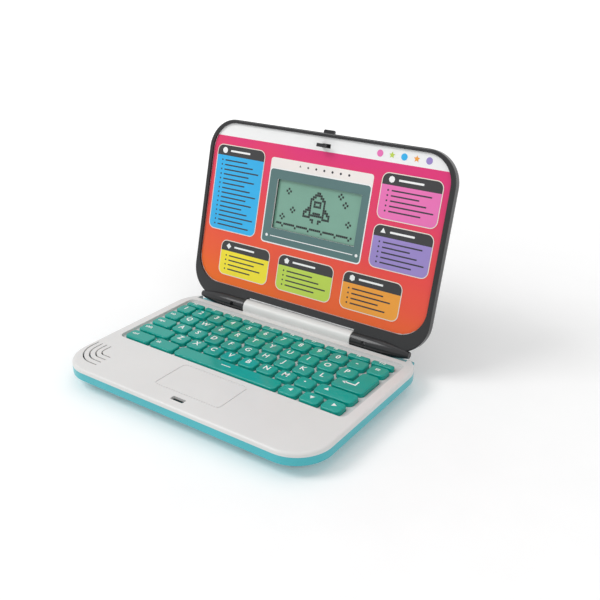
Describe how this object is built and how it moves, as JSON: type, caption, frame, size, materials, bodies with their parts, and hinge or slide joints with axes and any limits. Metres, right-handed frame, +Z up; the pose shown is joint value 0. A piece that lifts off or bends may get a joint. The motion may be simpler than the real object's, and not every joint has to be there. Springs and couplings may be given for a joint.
{
  "type": "toy laptop computer",
  "caption": "Child's toy laptop with a rounded two-tone base, moving keys, a hinged lid with a printed panel and small display, and a sliding lid latch.",
  "frame": {"origin": "on the table under the middle of the open laptop's bounding box", "axes": "+X to the user's right, +Y to the back, +Z up"},
  "size_m": [0.269, 0.236, 0.2004],
  "materials": {
    "shell_teal": "satin",
    "cover_white": "satin",
    "plate_grey": "matt",
    "key_teal": "satin",
    "mat_rubber": "matt",
    "board_green": "satin",
    "speaker_dark": "satin",
    "cell_label": "satin",
    "steel": "satin",
    "foot_rubber": "matt",
    "lid_black": "gloss",
    "panel_print": "gloss",
    "gasket_dark": "matt",
    "display_grey": "gloss"
  },
  "bodies": {
    "base": {"bottom_shell": "shell_teal", "top_cover": "cover_white", "keyboard_plate": "plate_grey", "dome_mat": "mat_rubber", "main_board": "board_green", "speaker": "speaker_dark", "battery_cells": "cell_label", "battery_contacts": "steel", "battery_door": "shell_teal", "rubber_feet": "foot_rubber", "case_screws": "steel"},
    "lid": {"lid_bezel": "lid_black", "lid_back": "lid_black", "printed_panel": "panel_print", "display_gasket": "gasket_dark", "display_glass": "display_grey", "display_board": "board_green", "hinge_pins": "steel", "lid_screws": "steel"},
    "latch": {"lid_latch": "lid_black"},
    "key_tab": {"key_tab": "key_teal"},
    "key_q": {"key_q": "key_teal"},
    "key_w": {"key_w": "key_teal"},
    "key_e": {"key_e": "key_teal"},
    "key_r": {"key_r": "key_teal"},
    "key_t": {"key_t": "key_teal"},
    "key_y": {"key_y": "key_teal"},
    "key_u": {"key_u": "key_teal"},
    "key_i": {"key_i": "key_teal"},
    "key_o": {"key_o": "key_teal"},
    "key_p": {"key_p": "key_teal"},
    "key_caps": {"key_caps": "key_teal"},
    "key_a": {"key_a": "key_teal"},
    "key_s": {"key_s": "key_teal"},
    "key_d": {"key_d": "key_teal"},
    "key_f": {"key_f": "key_teal"},
    "key_g": {"key_g": "key_teal"},
    "key_h": {"key_h": "key_teal"},
    "key_j": {"key_j": "key_teal"},
    "key_k": {"key_k": "key_teal"},
    "key_l": {"key_l": "key_teal"},
    "key_shift_left": {"key_shift_left": "key_teal"},
    "key_z": {"key_z": "key_teal"},
    "key_x": {"key_x": "key_teal"},
    "key_c": {"key_c": "key_teal"},
    "key_v": {"key_v": "key_teal"},
    "key_b": {"key_b": "key_teal"},
    "key_n": {"key_n": "key_teal"},
    "key_m": {"key_m": "key_teal"},
    "key_point": {"key_point": "key_teal"},
    "key_shift_right": {"key_shift_right": "key_teal"},
    "key_control": {"key_control": "key_teal"},
    "key_alt": {"key_alt": "key_teal"},
    "key_space": {"key_space": "key_teal"},
    "key_left": {"key_left": "key_teal"},
    "key_down": {"key_down": "key_teal"},
    "key_right": {"key_right": "key_teal"},
    "key_enter": {"key_enter": "key_teal"},
    "function_keys": {"function_keys": "key_teal"},
    "number_keys": {"number_keys": "key_teal"}
  },
  "joints": [
    {"name": "lid_hinge", "type": "hinge", "parent": "base", "child": "lid", "pos_m": [0, 0.06203, 0.0244], "axis": [1, 0, 0], "range_deg": [-15, 105]},
    {"name": "latch_slide", "type": "slide", "parent": "lid", "child": "latch", "axis": [1, 0, 0], "range_m": [0, 0.003]},
    {"name": "key_tab_press", "type": "slide", "parent": "base", "child": "key_tab", "axis": [0, 0, -1], "range_m": [0, 0.0015], "stiffness_N_per_m": 400, "springref_m": -0.0002},
    {"name": "key_q_press", "type": "slide", "parent": "base", "child": "key_q", "axis": [0, 0, -1], "range_m": [0, 0.0015], "stiffness_N_per_m": 400, "springref_m": -0.0002},
    {"name": "key_w_press", "type": "slide", "parent": "base", "child": "key_w", "axis": [0, 0, -1], "range_m": [0, 0.0015], "stiffness_N_per_m": 400, "springref_m": -0.0002},
    {"name": "key_e_press", "type": "slide", "parent": "base", "child": "key_e", "axis": [0, 0, -1], "range_m": [0, 0.0015], "stiffness_N_per_m": 400, "springref_m": -0.0002},
    {"name": "key_r_press", "type": "slide", "parent": "base", "child": "key_r", "axis": [0, 0, -1], "range_m": [0, 0.0015], "stiffness_N_per_m": 400, "springref_m": -0.0002},
    {"name": "key_t_press", "type": "slide", "parent": "base", "child": "key_t", "axis": [0, 0, -1], "range_m": [0, 0.0015], "stiffness_N_per_m": 400, "springref_m": -0.0002},
    {"name": "key_y_press", "type": "slide", "parent": "base", "child": "key_y", "axis": [0, 0, -1], "range_m": [0, 0.0015], "stiffness_N_per_m": 400, "springref_m": -0.0002},
    {"name": "key_u_press", "type": "slide", "parent": "base", "child": "key_u", "axis": [0, 0, -1], "range_m": [0, 0.0015], "stiffness_N_per_m": 400, "springref_m": -0.0002},
    {"name": "key_i_press", "type": "slide", "parent": "base", "child": "key_i", "axis": [0, 0, -1], "range_m": [0, 0.0015], "stiffness_N_per_m": 400, "springref_m": -0.0002},
    {"name": "key_o_press", "type": "slide", "parent": "base", "child": "key_o", "axis": [0, 0, -1], "range_m": [0, 0.0015], "stiffness_N_per_m": 400, "springref_m": -0.0002},
    {"name": "key_p_press", "type": "slide", "parent": "base", "child": "key_p", "axis": [0, 0, -1], "range_m": [0, 0.0015], "stiffness_N_per_m": 400, "springref_m": -0.0002},
    {"name": "key_caps_press", "type": "slide", "parent": "base", "child": "key_caps", "axis": [0, 0, -1], "range_m": [0, 0.0015], "stiffness_N_per_m": 400, "springref_m": -0.0002},
    {"name": "key_a_press", "type": "slide", "parent": "base", "child": "key_a", "axis": [0, 0, -1], "range_m": [0, 0.0015], "stiffness_N_per_m": 400, "springref_m": -0.0002},
    {"name": "key_s_press", "type": "slide", "parent": "base", "child": "key_s", "axis": [0, 0, -1], "range_m": [0, 0.0015], "stiffness_N_per_m": 400, "springref_m": -0.0002},
    {"name": "key_d_press", "type": "slide", "parent": "base", "child": "key_d", "axis": [0, 0, -1], "range_m": [0, 0.0015], "stiffness_N_per_m": 400, "springref_m": -0.0002},
    {"name": "key_f_press", "type": "slide", "parent": "base", "child": "key_f", "axis": [0, 0, -1], "range_m": [0, 0.0015], "stiffness_N_per_m": 400, "springref_m": -0.0002},
    {"name": "key_g_press", "type": "slide", "parent": "base", "child": "key_g", "axis": [0, 0, -1], "range_m": [0, 0.0015], "stiffness_N_per_m": 400, "springref_m": -0.0002},
    {"name": "key_h_press", "type": "slide", "parent": "base", "child": "key_h", "axis": [0, 0, -1], "range_m": [0, 0.0015], "stiffness_N_per_m": 400, "springref_m": -0.0002},
    {"name": "key_j_press", "type": "slide", "parent": "base", "child": "key_j", "axis": [0, 0, -1], "range_m": [0, 0.0015], "stiffness_N_per_m": 400, "springref_m": -0.0002},
    {"name": "key_k_press", "type": "slide", "parent": "base", "child": "key_k", "axis": [0, 0, -1], "range_m": [0, 0.0015], "stiffness_N_per_m": 400, "springref_m": -0.0002},
    {"name": "key_l_press", "type": "slide", "parent": "base", "child": "key_l", "axis": [0, 0, -1], "range_m": [0, 0.0015], "stiffness_N_per_m": 400, "springref_m": -0.0002},
    {"name": "key_shift_left_press", "type": "slide", "parent": "base", "child": "key_shift_left", "axis": [0, 0, -1], "range_m": [0, 0.0015], "stiffness_N_per_m": 400, "springref_m": -0.0002},
    {"name": "key_z_press", "type": "slide", "parent": "base", "child": "key_z", "axis": [0, 0, -1], "range_m": [0, 0.0015], "stiffness_N_per_m": 400, "springref_m": -0.0002},
    {"name": "key_x_press", "type": "slide", "parent": "base", "child": "key_x", "axis": [0, 0, -1], "range_m": [0, 0.0015], "stiffness_N_per_m": 400, "springref_m": -0.0002},
    {"name": "key_c_press", "type": "slide", "parent": "base", "child": "key_c", "axis": [0, 0, -1], "range_m": [0, 0.0015], "stiffness_N_per_m": 400, "springref_m": -0.0002},
    {"name": "key_v_press", "type": "slide", "parent": "base", "child": "key_v", "axis": [0, 0, -1], "range_m": [0, 0.0015], "stiffness_N_per_m": 400, "springref_m": -0.0002},
    {"name": "key_b_press", "type": "slide", "parent": "base", "child": "key_b", "axis": [0, 0, -1], "range_m": [0, 0.0015], "stiffness_N_per_m": 400, "springref_m": -0.0002},
    {"name": "key_n_press", "type": "slide", "parent": "base", "child": "key_n", "axis": [0, 0, -1], "range_m": [0, 0.0015], "stiffness_N_per_m": 400, "springref_m": -0.0002},
    {"name": "key_m_press", "type": "slide", "parent": "base", "child": "key_m", "axis": [0, 0, -1], "range_m": [0, 0.0015], "stiffness_N_per_m": 400, "springref_m": -0.0002},
    {"name": "key_point_press", "type": "slide", "parent": "base", "child": "key_point", "axis": [0, 0, -1], "range_m": [0, 0.0015], "stiffness_N_per_m": 400, "springref_m": -0.0002},
    {"name": "key_shift_right_press", "type": "slide", "parent": "base", "child": "key_shift_right", "axis": [0, 0, -1], "range_m": [0, 0.0015], "stiffness_N_per_m": 400, "springref_m": -0.0002},
    {"name": "key_control_press", "type": "slide", "parent": "base", "child": "key_control", "axis": [0, 0, -1], "range_m": [0, 0.0015], "stiffness_N_per_m": 400, "springref_m": -0.0002},
    {"name": "key_alt_press", "type": "slide", "parent": "base", "child": "key_alt", "axis": [0, 0, -1], "range_m": [0, 0.0015], "stiffness_N_per_m": 400, "springref_m": -0.0002},
    {"name": "key_space_press", "type": "slide", "parent": "base", "child": "key_space", "axis": [0, 0, -1], "range_m": [0, 0.0015], "stiffness_N_per_m": 400, "springref_m": -0.0002},
    {"name": "key_left_press", "type": "slide", "parent": "base", "child": "key_left", "axis": [0, 0, -1], "range_m": [0, 0.0015], "stiffness_N_per_m": 400, "springref_m": -0.0002},
    {"name": "key_down_press", "type": "slide", "parent": "base", "child": "key_down", "axis": [0, 0, -1], "range_m": [0, 0.0015], "stiffness_N_per_m": 400, "springref_m": -0.0002},
    {"name": "key_right_press", "type": "slide", "parent": "base", "child": "key_right", "axis": [0, 0, -1], "range_m": [0, 0.0015], "stiffness_N_per_m": 400, "springref_m": -0.0002},
    {"name": "key_enter_press", "type": "slide", "parent": "base", "child": "key_enter", "axis": [0, 0, -1], "range_m": [0, 0.0015], "stiffness_N_per_m": 400, "springref_m": -0.0002},
    {"name": "function_keys_press", "type": "slide", "parent": "base", "child": "function_keys", "axis": [0, 0, -1], "range_m": [0, 0.0015], "stiffness_N_per_m": 400, "springref_m": -0.0002},
    {"name": "number_keys_press", "type": "slide", "parent": "base", "child": "number_keys", "axis": [0, 0, -1], "range_m": [0, 0.0015], "stiffness_N_per_m": 400, "springref_m": -0.0002}
  ]
}
